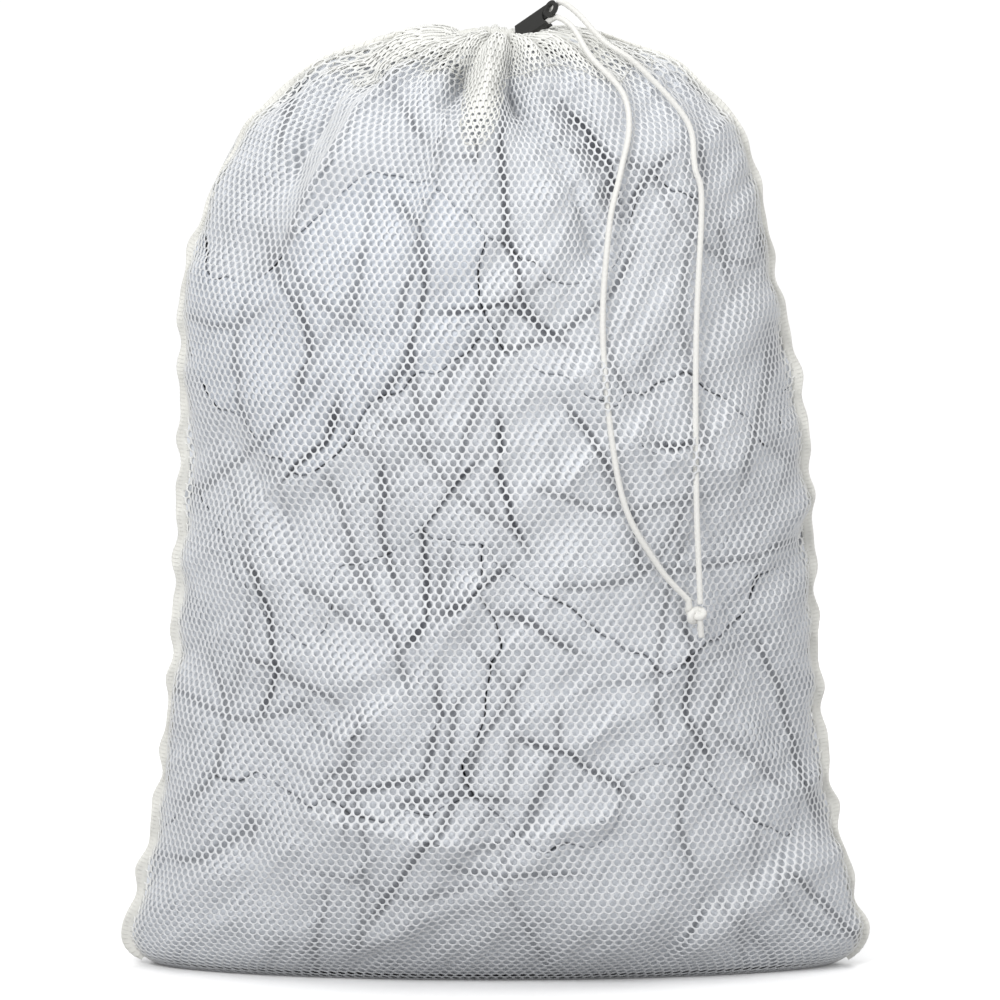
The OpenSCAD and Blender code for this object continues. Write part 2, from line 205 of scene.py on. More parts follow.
# The boldest creases in the laundry behind each face
FRONT_CREASES = (
    crease(0.80, (10, 650), (7, 583), (10, 545), (22, 508), (47, 478)),
    crease(0.85, (45, 650), (66, 626), (81, 600), (92, 567)),
    crease(0.75, (92, 567), (115, 599), (141, 618)),
    crease(0.60, (-33, 615), (-12, 615), (-18, 640)),
    crease(0.60, (-81, 591), (-59, 565), (-48, 532)),
    crease(0.60, (-73, 659), (-62, 636), (-48, 621)),
    crease(0.80, (-48, 503), (4, 510), (38, 492), (60, 478)),
    crease(0.95, (1, 437), (5, 420), (5, 390), (12, 355), (27, 325)),
    crease(0.85, (-8, 400), (-40, 362), (-56, 342), (-52, 310), (-53, 278), (-70, 250)),
    crease(0.75, (-84, 403), (-86, 343), (-78, 315), (-70, 292)),
    crease(0.80, (18, 325), (-4, 305), (-34, 292), (-52, 278)),
    crease(0.70, (-6, 286), (26, 278), (46, 262), (70, 250)),
    crease(0.85, (-115, 442), (-128, 405), (-148, 388), (-170, 362)),
    crease(0.70, (-43, 245), (-42, 205), (-54, 162), (-90, 152), (-126, 142)),
    crease(0.65, (30, 250), (-7, 191), (-35, 129), (-65, 90), (-98, 40)),
    crease(0.50, (-40, 89), (-6, 88), (12, 84), (70, 88)),
    crease(0.75, (8, 192), (52, 180), (92, 155), (108, 140)),
    crease(0.75, (140, 286), (150, 245), (143, 205), (165, 160)),
    crease(0.90, (113, 408), (140, 404), (160, 404)),
    crease(0.70, (48, 440), (80, 400), (105, 345), (110, 300)),
    crease(0.58, (190, 260), (215, 210), (230, 150), (245, 100)),
    crease(0.80, (-190, 320), (-170, 275), (-165, 230), (-180, 190)),
    crease(0.60, (-187, 130), (-182, 114), (-187, 98)),
    crease(0.70, (-85, 140), (-30, 150), (20, 142)),
    crease(0.75, (-60, 560), (-50, 520), (-64, 470), (-92, 430)),
    crease(0.70, (-150, 520), (-140, 470), (-150, 430)),
)
BACK_CREASES = (
    crease(0.72, (150, 580), (110, 520), (120, 450), (60, 400)),
    crease(0.62, (-160, 540), (-110, 480), (-130, 400)),
    crease(0.72, (20, 560), (-10, 490), (10, 420)),
    crease(0.62, (180, 380), (130, 330), (150, 260), (110, 200)),
    crease(0.62, (-60, 380), (-30, 310), (-70, 240)),
    crease(0.55, (-200, 320), (-160, 260), (-180, 180)),
    crease(0.72, (30, 250), (60, 180), (20, 110)),
    crease(0.55, (-130, 150), (-60, 120), (0, 140)),
    crease(0.62, (220, 200), (170, 140), (190, 80)),
)
SMALL_CREASES = 85       # how many more wander over each face

# ---- The bag's outline: the same curves as the CAD shell ----


def bell(distance, span, power=2):
    """1 where distance is 0, falling to 1 / e at span on both sides."""
    return np.exp(-((distance / span) ** power))


def half_w(z):
    """Half the bag's width at this height."""
    side = BAG_W / 2 + CORNER_FLARE * np.exp(-((z / FLARE_HEIGHT) ** 1.15))
    wide = MOUTH_R + (side - MOUTH_R) * np.sqrt(np.clip(1 - (z / BAG_H) ** 6, 0, 1))
    shoulder = SHOULDER * bell(z - SHOULDER_Z, SHOULDER_SPAN) - NECK_IN * bell(z - NECK_Z, NECK_SPAN)
    return (1 - FOOT_IN * np.exp(-z / FOOT_ROUND)) * wide + shoulder


def half_d(z):
    """Half the bag's depth at this height."""
    deep = MOUTH_R + (BAG_D / 2 - MOUTH_R) * np.clip(1 - (z / BAG_H) ** 4, 0, 1) ** 0.7
    return (1 - BELLY_IN * np.exp(-z / BELLY_H)) * deep


def middle(z):
    """The middle of the bag at this height: its x and its y."""
    drawn = (z / BAG_H) ** 30
    lean = LEAN * bell(z - LEAN_HEIGHT, LEAN_SPAN)
    return drawn * MOUTH[0] - lean, drawn * MOUTH[1]


def skin(z, turn, side):
    """Points of one face at these heights and turns. turn runs from 0 at the left seam to pi at the right."""
    x, y = middle(z)
    pinch = 1.2 - 0.2 * (z / BAG_H) ** 8
    return np.stack([
        x - half_w(z) * np.cos(turn),
        y + side * half_d(z) * np.sin(turn) ** pinch,
        z + 0 * turn,
    ], axis=-1)


# ---- Helpers for shapes ----


def smooth(low, high, x):
    """0 below low, 1 above high, and a soft step between them."""
    t = np.clip((x - low) / (high - low), 0, 1)
    return t * t * (3 - 2 * t)


def away(x, z, path):
    """How far each point (x, z) is from a line through the path's points."""
    best = np.full(np.shape(x), 9.0)
    for (ax, az), (bx, bz) in zip(path, path[1:]):
        dx, dz = bx - ax, bz - az
        t = np.clip(((x - ax) * dx + (z - az) * dz) / (dx * dx + dz * dz), 0, 1)
        best = np.minimum(best, np.hypot(x - ax - t * dx, z - az - t * dz))
    return best


def soft_peak(distance, width, tip=0.0015):
    """1 on a fold's line, falling away to both sides, with a small round tip."""
    return np.exp(-(np.sqrt(distance * distance + tip * tip) - tip) / width)


def wave(along, length, start=0.0):
    """A wave of this length, between -1 and 1."""
    return np.sin(2 * math.pi * along / length + start)


def full_turn(steps):
    """Angles once round, from 0 to a step short of it."""
    return np.linspace(0, 2 * math.pi, steps, endpoint=False)


def scallops(z):
    """The waves that the seams make at these heights."""
    return wave(z, SCALLOP_LENGTH, SCALLOP_START)


def ripples(x, z, seed, longest, shortest, count=9):
    """A soft random landscape between about -1 and 1, from plane waves of these lengths."""
    rng = np.random.default_rng(seed)
    total = np.zeros(np.shape(x))
    bend = longest / 6 * wave(x - z, longest, seed)
    for _ in range(count):
        heading = rng.uniform(0, math.pi)
        per_metre = 2 * math.pi / rng.uniform(shortest, longest)
        phase = rng.uniform(0, 2 * math.pi)
        total += np.sin(per_metre * (math.cos(heading) * (x + bend) + math.sin(heading) * (z - bend)) + phase)
    return total / math.sqrt(count)


def unit(vectors):
    """The same vectors with length one."""
    return vectors / np.maximum(np.linalg.norm(vectors, axis=-1, keepdims=True), 1e-12)


def blur_rows(grid, half):
    """Each row averaged with the rows up to half a window above and below it."""
    padded = np.concatenate([np.repeat(grid[:1], half, 0), grid, np.repeat(grid[-1:], half + 1, 0)])
    total = np.cumsum(padded, axis=0)
    below = np.concatenate([0 * total[:1], total[:-2 * half - 2]])
    return (total[2 * half:-1] - below) / (2 * half + 1)


def grid_faces(rows, cols, start=0, flip=False, wrap=False):
    """Quads of a grid of points, numbered row by row from start.
    wrap joins the last column to the first."""
    i = np.arange(rows - 1)[:, None]
    j = np.arange(cols if wrap else cols - 1)[None, :]
    after = (j + 1) % cols
    quads = np.stack([i * cols + j, i * cols + after, (i + 1) * cols + after, (i + 1) * cols + j], axis=-1)
    quads = quads.reshape(-1, 4) + start
    return quads[:, ::-1] if flip else quads


def travelled(path):
    """The distance along the path to each of its points."""
    return np.concatenate([[0], np.cumsum(np.linalg.norm(np.diff(path, axis=0), axis=1))])


def along(path, step):
    """The path resampled to even steps."""
    path = np.asarray(path, float)
    reach = travelled(path)
    places = np.linspace(0, reach[-1], max(2, int(round(reach[-1] / step)) + 1))
    return np.stack([np.interp(places, reach, path[:, k]) for k in range(3)], axis=1)


def curve(points, steps=8):
    """A Catmull-Rom curve through the points."""
    p = np.asarray(points, float)
    p = np.concatenate([[2 * p[0] - p[1]], p, [2 * p[-1] - p[-2]]])
    t = np.linspace(0, 1, steps, endpoint=False)[:, None]
    spans = []
    for a, b, c, d in zip(p, p[1:], p[2:], p[3:]):
        bend = 2 * a - 5 * b + 4 * c - d
        twist = 3 * b - a - 3 * c + d
        spans.append((2 * b + (c - a) * t + bend * t ** 2 + twist * t ** 3) / 2)
    return np.concatenate(spans + [p[-2][None]])


def tube(path, radius, sides, shape=None):
    """Points and quads of a round tube along a path, closed at both ends.
    shape(length along the path, turn round it) scales the radius."""
    path = np.asarray(path, float)
    heading = unit(np.gradient(path, axis=0))
    across = np.zeros_like(path)
    any_other_way = [0.3, 0.5, 0.8]
    start = np.cross(heading[0], any_other_way)
    across[0] = start / np.linalg.norm(start)
    for k in range(1, len(path)):
        carried = across[k - 1] - np.dot(across[k - 1], heading[k]) * heading[k]
        across[k] = carried / np.linalg.norm(carried)
    up = np.cross(heading, across)
    turn = full_turn(sides)
    reach = np.broadcast_to(np.asarray(radius, float).reshape(-1, 1), (len(path), sides)).copy()
    if shape is not None:
        reach *= shape(travelled(path)[:, None], turn[None, :])
    points = path[:, None] + reach[..., None] * (
        np.cos(turn)[None, :, None] * across[:, None] + np.sin(turn)[None, :, None] * up[:, None]
    )
    points = points.reshape(-1, 3)
    faces = grid_faces(len(path), sides, wrap=True, flip=True)
    ends = np.arange(sides)
    after = np.roll(ends, -1)
    last = (len(path) - 1) * sides
    first_tip, last_tip = (np.full(sides, len(points) + k) for k in (0, 1))
    points = np.concatenate([points, [path[0], path[-1]]])
    first_fan = np.stack([ends, after, first_tip, first_tip], 1)
    last_fan = np.stack([last + after, last + ends, last_tip, last_tip], 1)
    return points, np.concatenate([faces, first_fan, last_fan])


def join(parts):
    """Several (points, quads) as one."""
    points, faces, count = [], [], 0
    for p, f in parts:
        points.append(p)
        faces.append(f + count)
        count += len(p)
    return np.concatenate(points), np.concatenate(faces)


def new_object(name, data):
    obj = bpy.data.objects.new(name, data)
    bpy.context.scene.collection.objects.link(obj)
    return obj


def piece(name, points, faces, material, body=None, stands_for=(), values=None):
    """A named mesh object on its body, standing for CAD nodes, with values at its points for its material.
    A quad whose last two corners are the same point is a triangle."""
    mesh = bpy.data.meshes.new(name)
    is_quad = faces[:, 2] != faces[:, 3]
    sizes = np.where(is_quad, 4, 3)
    corners = faces[np.arange(4)[None, :] < sizes[:, None]]
    mesh.vertices.add(len(points))
    mesh.vertices.foreach_set("co", np.asarray(points, np.float32).ravel())
    mesh.loops.add(len(corners))
    mesh.loops.foreach_set("vertex_index", corners.astype(np.int32))
    mesh.polygons.add(len(faces))
    mesh.polygons.foreach_set("loop_start", np.concatenate([[0], np.cumsum(sizes)[:-1]]).astype(np.int32))
    mesh.update(calc_edges=True)
    mesh.validate()
    mesh.shade_smooth()
    for label, value in (values or {}).items():
        attribute = mesh.attributes.new(label, "FLOAT", "POINT")
        attribute.data.foreach_set("value", np.asarray(value, np.float32))
    mesh.materials.append(material)
    obj = new_object(name, mesh)
    if body:
        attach(obj, body)
    if stands_for:
        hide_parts(*stands_for)
    return obj


# ---- Materials ----


class Nodes:
    """A material's node tree, with short calls to add nodes and link them."""

    def __init__(self, name):
        self.material = bpy.data.materials.new(name)
        self.material.use_nodes = True
        self.tree = self.material.node_tree
        self.shader = self.tree.nodes["Principled BSDF"]

    def feed(self, socket, value):
        """Gives a socket a value, or another node's output."""
        if isinstance(value, bpy.types.NodeSocket):
            self.tree.links.new(value, socket)
        else:
            socket.default_value = value

    def add(self, kind, inputs=None, **settings):
        node = self.tree.nodes.new(kind)
        for key, value in settings.items():
            setattr(node, key, value)
        for key, value in (inputs or {}).items():
            self.feed(node.inputs[key], value)
        return node

    def set(self, **inputs):
        for key, value in inputs.items():
            self.feed(self.shader.inputs[key.replace("_", " ")], value)

    def places(self):
        return self.add("ShaderNodeTexCoord").outputs["Object"]

    def noise(self, scale, detail=4.0):
        """Noise whose lumps are about 1 / scale metres apart."""
        return self.add("ShaderNodeTexNoise", {"Vector": self.places(), "Scale": scale, "Detail": detail})

    def bump(self, height, distance, strength=1.0):
        node = self.add("ShaderNodeBump", {"Height": height, "Distance": distance, "Strength": strength})
        return node.outputs["Normal"]

    def between(self, factor, low, high):
        """The colour low where factor is 0 and high where it is 1."""
        mix = self.add("ShaderNodeMix", data_type="RGBA")
        self.feed(mix.inputs[0], factor)
        for socket, colour in ((mix.inputs[6], low), (mix.inputs[7], high)):
            self.feed(socket, colour if isinstance(colour, bpy.types.NodeSocket) else (*colour, 1))
        return mix.outputs[2]


def yarn_material(name, light, dark, roughness=0.62, sheen=0.25, hem=None):
    """Knitted or braided polyester: fine fibres, slightly uneven in colour.
    hem is the colour of the doubled hem."""
    n = Nodes(name)
    soil = n.noise(18, 3).outputs["Fac"]
    fibre = n.noise(2600, 3).outputs["Fac"]
    colour = n.between(soil, dark, light)
    if hem:
        colour = n.between(n.add("ShaderNodeAttribute", attribute_name="hem").outputs["Fac"], colour, hem)
    n.set(
        Base_Color=colour,
        Roughness=roughness,
        Sheen_Weight=sheen,
        Normal=n.bump(fibre, 0.0002, 0.5),
    )
    return n.material


# Painted shade: the colour that the laundry is darkened towards in its creases, at gaping edges and between
# layers
PAINTED_CREASE_SHADE = (0.10, 0.105, 0.12)


def laundry_material(name, light, weave_scale):
    """White cotton: a woven surface, with painted shade in the creases, at gaping layer edges and between
    layers.
    """
    n = Nodes(name)
    # The crease attribute holds painted shade
    painted_shade = n.add("ShaderNodeAttribute", attribute_name="crease").outputs["Fac"]
    patch = n.noise(14, 3).outputs["Fac"]
    cloth = n.between(patch, light, tuple(0.93 * c for c in light))
    weave = n.noise(weave_scale, 2).outputs["Fac"]
    n.set(
        Base_Color=n.between(painted_shade, cloth, PAINTED_CREASE_SHADE),
        Roughness=0.85,
        Sheen_Weight=0.2,
        Normal=n.bump(weave, 0.0006, 0.5),
    )
    return n.material


def plastic_material():
    """Black moulded plastic with a satin skin."""
    n = Nodes("lock_black")
    grain = n.noise(1800, 2).outputs["Fac"]
    smudge = n.noise(160, 3).outputs["Fac"]
    n.set(
        Base_Color=n.between(smudge, (0.012, 0.012, 0.011), (0.022, 0.022, 0.020)),
        Roughness=n.add("ShaderNodeMapRange", {"Value": smudge, "To Min": 0.26, "To Max": 0.42}).outputs[0],
        Normal=n.bump(grain, 0.00008, 0.35),
    )
    return n.material


NET = yarn_material("net_polyester", (0.67, 0.68, 0.69), (0.62, 0.632, 0.645), hem=(0.72, 0.72, 0.69))
HEM = yarn_material("hem_polyester", (0.65, 0.65, 0.62), (0.59, 0.59, 0.55))
SEAM = yarn_material("seam_polyester", (0.74, 0.735, 0.695), (0.67, 0.665, 0.625))
THREAD = yarn_material("white_thread", (0.70, 0.695, 0.655), (0.64, 0.635, 0.595))
CORD = yarn_material("braided_cord", (0.70, 0.695, 0.67), (0.63, 0.625, 0.595), roughness=0.7)
PLASTIC = plastic_material()
SHEETING = laundry_material("cotton_sheet", (0.71, 0.735, 0.775), 1500)
TERRY = laundry_material("terry_towel", (0.69, 0.715, 0.755), 700)
SHIRTING = laundry_material("cotton_shirt", (0.70, 0.735, 0.79), 1900)


# ---- The two faces of the bag ----


class Sheet:
    """One face of the bag as a fine grid, from the bottom fold up to the mouth and from the left seam to
    the right. side is -1 for the front and 1 for the back. Past the rim the rows go on in, into the hem."""

    ROW = 0.00125
    TURNS, COLS = 1500, 1101
    STEPS = 1200         # heights at which the way up the face is measured
    DRAWN = 0.024        # how far the rows go on past the rim
    DIP = 0.0070         # how far they sink there
    STANDS = 0.0050      # how far pleats may stand up over the rim
    PRESS = 0.002        # how softly they are pressed flat there
    SMOOTHING = 24       # rows on each side over which the columns are evened out

    def __init__(self, side, folds, seed):
        self.side = side
        heights = BAG_H * (1 - np.cos(np.linspace(0, math.pi, self.STEPS))) / 2
        self.foot = half_d(0.0)
        up = np.stack([middle(heights)[1] + side * half_d(heights), heights], 1)
        climbed = travelled(up)
        self.rim = self.foot + climbed[-1]
        self.length = self.rim + self.DRAWN
        self.rows = int(self.length / self.ROW)
        self.reach = np.linspace(0, self.length, self.rows)
        self.heights = np.interp(self.reach, self.foot + climbed, heights)
        turn = np.linspace(0, math.pi, self.TURNS)[None, :]
        z = self.heights[:, None] + 0 * turn
        points = self.plain(z, turn)
        out = self.push(points[..., 0], z, turn, folds, seed)
        points = self.pressed(points + out[..., None] * self.normals_of(points))
        self.points, self.row_length = self.even_columns(points)
        self.normals = self.normals_of(self.points)

    def plain(self, z, turn):
        """The face with no folds: in from the bottom fold, up the outline, and in again past the rim."""
        points = skin(z, turn, self.side)
        points[..., 1] *= np.clip(self.reach / self.foot, 0, 1)[:, None]
        past = np.clip(self.reach - self.rim, 0, None)[:, None, None]
        rim_middle = np.array([*MOUTH, 0])
        points += (rim_middle - points * [1, 1, 0]) * past / MOUTH_R
        points[..., 2] -= self.DIP * (past[..., 0] / self.DRAWN) ** 1.6
        return points

    def push(self, x, z, turn, folds, seed):
        """How far the net stands out from the plain outline: bulges, puckers, folds and pleats."""
        inside = smooth(0, 0.10, np.sin(turn))
        bulges = BULGE * ripples(x, z, seed, *BULGE_WAVES) * inside
        puckers = PUCKER * ripples(x, z, seed + 1, *PUCKER_WAVES) * inside
        out = bulges * smooth(BAG_H, BAG_H - BULGE_FADE, z)
        out += puckers * smooth(BAG_H, BAG_H - PUCKER_FADE, z)
        for depth, width, path in folds:
            out += depth * soft_peak(away(x, z, path), width) * inside
        sway = 0.25 * np.sin(3 * turn + seed) + 0.18 * np.sin(7 * turn + 2 * seed)
        for pleats in PLEATS:
            drawn = smooth(BAG_H - pleats.start, BAG_H - pleats.full, z)
            valley = 0.5 - 0.5 * np.cos(2 * pleats.count * (turn + pleats.uneven * sway))
            out -= pleats.depth * drawn * valley ** pleats.sharp
        near_seam = np.exp(-np.sin(turn) / 0.10)
        out += SEAM_PUCKER * near_seam * scallops(z)
        return out * smooth(0.0, 0.030, z)

    def pressed(self, points):
        """The points with folds that would stand up over the rim pressed flat, and none below the floor."""
        over = BAG_H + self.STANDS - points[..., 2]
        points[..., 2] = BAG_H + self.STANDS - self.PRESS * np.logaddexp(0, over / self.PRESS)
        points[..., 2] = np.maximum(points[..., 2], FLOOR)
        return points

    def normals_of(self, points):
        """The directions out of the bag at these points."""
        across = np.gradient(points, axis=1)
        up = np.gradient(points, axis=0)
        return unit(np.cross(across, up) * -self.side)

    def even_columns(self, points):
        """The same rows with their points spaced evenly, and each row's length. The spacing is averaged
        over rows near each other, so that the net's columns run smoothly through its folds."""
        steps = np.linalg.norm(np.diff(points, axis=1), axis=2)
        lengths = steps.sum(axis=1)
        walked = np.concatenate([np.zeros((len(points), 1)), np.cumsum(steps, axis=1)], axis=1)
        reach = walked / lengths[:, None]
        reach = blur_rows(blur_rows(reach, self.SMOOTHING), self.SMOOTHING)
        share = np.linspace(0, 1, self.COLS)
        rows = [
            np.stack([np.interp(share, r, p[:, k]) for k in range(3)], axis=1)
            for r, p in zip(reach, points)
        ]
        return np.array(rows), lengths

    def at(self, reach, share):
        """Points and normals at distances from the bottom fold and shares of the way across."""
        r = np.clip(reach / self.length * (self.rows - 1), 0, self.rows - 1.001)
        c = np.clip(share * (self.COLS - 1), 0, self.COLS - 1.001)
        i, j = r.astype(int), c.astype(int)
        f, g = (r - i)[..., None], (c - j)[..., None]

        def mix(grid):
            low = grid[i, j] * (1 - g) + grid[i, j + 1] * g
            high = grid[i + 1, j] * (1 - g) + grid[i + 1, j + 1] * g
            return low * (1 - f) + high * f

        return mix(self.points), unit(mix(self.normals))

    def reach_of(self, height):
        """The distance from the bottom fold at which the outline is this high."""
        wall = (self.reach >= self.foot) & (self.reach <= self.rim)
        return np.interp(height, self.heights[wall], self.reach[wall])

    def pitch_at(self, reach):
        """The net's pitch along the row at this distance from the bottom fold."""
        return np.interp(reach, self.reach, self.row_length) / COLUMNS


FRONT = Sheet(-1, FRONT_FOLDS, 3)
BACK = Sheet(1, BACK_FOLDS, 8)

# The edge of one cell of the net, in half pitches across and rows up, going round from the right
CELL_EDGE = np.array([
    (1, 0), (1, 1 / 3), (1 / 2, 1 / 2), (0, 2 / 3), (-1 / 2, 1 / 2), (-1, 1 / 3),
    (-1, 0), (-1, -1 / 3), (-1 / 2, -1 / 2), (0, -2 / 3), (1 / 2, -1 / 2), (1, -1 / 3),
])
CELL_TURN = np.arctan2(CELL_EDGE[:, 1] * ROW_STEP, CELL_EDGE[:, 0] * HOLE_PITCH / 2)
KEYS = np.array([4, 6])  # they make whole numbers of every cell corner's place, so that neighbours share it


def hem_edge(sheet, share):
    """The distance from the bottom fold to the hem's lower edge, at these shares of the way across."""
    uneven = 1 + 0.22 * np.sin(19 * share + sheet.side) + 0.14 * np.sin(43 * share)
    flap = HEM_FLAP * bell(share - HEM_FLAP_AT, HEM_FLAP_SPAN, 4) * (sheet.side < 0)
    return sheet.rim - HEM_BAND * uneven - flap


def net(sheet, low, high, inset=0.0, slip=0.0, size=1.0, hem_only=False):
    """The knitted net of one face between two distances from the bottom fold: a ring of quads round each
    hole. It lies this far in from the sheet, with its rows moved up by slip, and size scales its holes.
    Also gives each point's distance from the fold and share of the way across."""
    first = math.ceil((low - slip) / ROW_STEP)
    last = math.floor((high - slip) / ROW_STEP)
    rows = np.arange(first, last)
    centres = np.array([(x, y) for y in rows for x in range(1 + y % 2, 2 * COLUMNS, 2)])
    if hem_only:
        above = centres[:, 1] * ROW_STEP + slip - hem_edge(sheet, centres[:, 0] / (2 * COLUMNS))
        centres, above = centres[above > 0], above[above > 0]
        # The second layer lies looser towards its lower edge, where more of it can be seen through
        size = size + (HEM_EDGE_HOLES - size) * smooth(HEM_LOOSE, 0.0, above)[:, None]
    rim = centres[:, None] + CELL_EDGE[None]
    keys = np.round(rim * KEYS).astype(int).reshape(-1, 2)
    corners, which = np.unique(keys, axis=0, return_inverse=True)
    which = which.reshape(len(centres), 12)
    pitch = sheet.pitch_at(centres[:, 1] * ROW_STEP + slip)
    # Holes close up where the rows are drawn tightly together
    loose = smooth(TIGHT_PITCH, OPEN_PITCH, pitch)[:, None]
    half = size * 2 * HOLE_R / HOLE_PITCH * (0.35 + 0.65 * loose)
    tall = size * HOLE_R / ROW_STEP * (0.80 + 0.20 * loose)
    hole = np.stack([
        centres[:, :1] + half * np.cos(CELL_TURN),
        centres[:, 1:] + tall * np.sin(CELL_TURN),
    ], axis=-1).reshape(-1, 2)
    flat = np.concatenate([corners / KEYS, hole])
    points, normals = sheet.at(flat[:, 1] * ROW_STEP + slip, flat[:, 0] / (2 * COLUMNS))
    raised = np.where(np.arange(len(flat)) < len(corners), RIDGE, -HOLLOW) - inset
    points = points + raised[:, None] * normals
    points[:, 2] = np.maximum(points[:, 2], NET_FLOOR)
    inner = len(corners) + np.arange(len(centres) * 12).reshape(-1, 12)
    quads = np.stack([which, np.roll(which, -1, 1), np.roll(inner, -1, 1), inner], axis=-1).reshape(-1, 4)
    if sheet.side > 0:
        quads = quads[:, ::-1]
    return points, quads, flat[:, 1] * ROW_STEP + slip, flat[:, 0] / (2 * COLUMNS)


def build_nets():
    """Each face's net in two halves, and the second layer inside its hem. The hem and the seams are ivory."""
    for face, sheet in (("front", FRONT), ("back", BACK)):
        half = ROW_STEP * round(sheet.length / 2 / ROW_STEP)
        for part, low, high in (("lower", 0.004, half), ("upper", half, sheet.length - 0.001)):
            points, faces, reach, share = net(sheet, low, high)
            in_hem = smooth(-0.020, 0.022, reach - hem_edge(sheet, share))
            near_seam = smooth(0.040, 0.0, np.minimum(share, 1 - share))
            ivory = np.maximum(in_hem, 0.8 * near_seam)
            obj = piece(f"net_{face}_{part}", points, faces, NET, "bag", values={"hem": ivory})
            if (face, part) == ("front", "lower"):
                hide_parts("mesh_body")
        deepest = sheet.rim - 2 * HEM_BAND - HEM_FLAP
        points, faces, _, _ = net(
            sheet, deepest, sheet.length - 0.002,
            inset=HEM_LAYER, slip=ROW_STEP / 2, size=HEM_HOLES, hem_only=True,
        )
        piece(f"hem_inner_{face}", points, faces, NET, "bag", values={"hem": np.ones(len(points))})


# ---- The laundry ----


def wandering_creases(count, seed):
    """Faint creases that start anywhere and wander mostly up and down, each one bending its own way."""
    rng = np.random.default_rng(seed)
    creases = []
    for _ in range(count):
        x, z = rng.uniform(-0.24, 0.24), rng.uniform(0.06, 0.67)
        heading, bend = rng.normal(0, 0.6), rng.normal(0, 0.10)
        path = [(x, z)]
        for _ in range(rng.integers(3, 12)):
            heading += bend + rng.normal(0, 0.10)
            x += CREASE_STEP * math.sin(heading)
            z -= CREASE_STEP * math.cos(heading)
            path.append((x, z))
        creases.append(Crease(rng.uniform(*FAINT), path))
    return creases


def crease_depth(x, z, creases):
    """How dark the painted shade of the creases makes each point, and how deep they sink it: both 0 on smooth
    cloth.
    """
    dark, sunk = np.zeros(np.shape(x)), np.zeros(np.shape(x))
    for strength, path in creases:
        far = away(x, z, path)
        to_ends = [np.hypot(x - end_x, z - end_z) for end_x, end_z in (path[0], path[-1])]
        fade = strength * (0.35 + 0.65 * smooth(0, CREASE_TAPER, np.minimum(*to_ends)))
        shade = smooth(*CREASE_LINE, far) + CREASE_SHADE * bell(far, CREASE_SHADE_HALF)
        # Painted shade along the crease's line and softly round it
        dark = np.maximum(dark, fade * shade)
        sunk = np.maximum(sunk, fade * bell(far, CREASE_HALF))
    return np.clip(dark, 0, 1), sunk


def layer_edge(path, share):
    """The height of a layer's edge, and how far it gapes, at these shares of the way across."""
    line = curve(path, 10)
    height = np.interp(share, line[:, 0], line[:, 1])
    uneven = 0.0060 * np.sin(29 * share + 40 * height)
    uneven = uneven + 0.0034 * np.sin(67 * share) + 0.0015 * np.sin(131 * share)
    broken = 0.60 + 0.50 * np.sin(23 * share + 30 * height[..., :1]) * np.sin(51 * share)
    gape = np.clip(np.interp(share, line[:, 0], line[:, 2]) * broken, 0, 1)
    return height + uneven * smooth(0.0, 0.08, height), gape


def edge_roll(distance, gape):
    """How far cloth rolls in at this distance from its edge, and how dark the painted shade of the gap makes
    it there.
    """
    radius = ROLL_R + ROLL_R_GAPING * gape
    roll = radius * (1 - np.sqrt(1 - np.clip(1 - distance / radius, 0, 1) ** 2))
    # Painted shade in the gap, stronger where the edge gapes
    dark = (0.03 + 0.42 * gape) * smooth(0.0040, 0.0006, distance)
    return roll, dark


def laundry_face(sheet, low, high, left, right, creases, size, seed):
    """One face of a piece of laundry: a grid behind the net that rolls in at its edges, and how dark each
    point's painted shade is. low and high are the layer's edges, left and right are shares of the way across."""
    rows, cols = size
    t = np.linspace(0, 1, rows)[:, None]
    s = np.linspace(0, 1, cols)[None, :]
    across = left + (right - left) * s
    (bottom, gape_low), (top, gape_high) = layer_edge(low, across), layer_edge(high, across)
    bottom, top = sheet.reach_of(bottom) + LAYER_GAP, sheet.reach_of(top) - LAYER_GAP
    reach = bottom + (top - bottom) * t
    sway = 0.016 * np.sin(reach * 34 + 2) + 0.006 * np.sin(reach * 90)
    share = across + sway * smooth(0.03, 0.35, across) * smooth(0.97, 0.65, across)
    points, normals = sheet.at(reach, share)
    x, z = points[..., 0], points[..., 2]
    # The creases' painted shade, and how deep they sink the cloth
    painted_crease_shade, depth = crease_depth(x, z, creases)
    folds = ripples(x, z, seed + 5, 0.075, 0.03)
    wrinkles = np.abs(ripples(x, z, seed + 9, 0.05, 0.02))
    # The distance to each end of the piece, which is far away where that end is at a seam
    wide = sheet.row_length.max()
    to_left = (s * (right - left) + (left < 0.1)) * wide + 0 * t
    to_right = ((1 - s) * (right - left) + (right > 0.9)) * wide + 0 * t
    to_edges = (reach - bottom, top - reach, to_left, to_right)
    gapes = (gape_low, gape_high, SIDE_GAPE, SIDE_GAPE)
    roll, painted_edge_shade = np.max([edge_roll(distance, gape) for distance, gape in zip(to_edges, gapes)], axis=0)
    sunk = LOAD_GAP + FOLD_DEPTH * (1 + folds) + WRINKLE_DEPTH * wrinkles + CREASE_DEPTH * depth + roll
    # The cloth lies closer to the net along the seams below the shoulders, and at the foot
    off_seam = smooth(0.0, 0.05, np.minimum(share, 1 - share))
    sunk *= 0.3 + 0.7 * np.maximum(off_seam, smooth(0.60, 0.66, z))
    sunk *= 0.35 + 0.65 * smooth(0.0, 0.025, z)
    points = points - sunk[..., None] * normals
    points[..., 1] = sheet.side * np.maximum(sheet.side * points[..., 1], 0.001)
    points[..., 2] = np.maximum(points[..., 2], LOAD_FLOOR)
    return points, np.maximum(painted_crease_shade, painted_edge_shade)


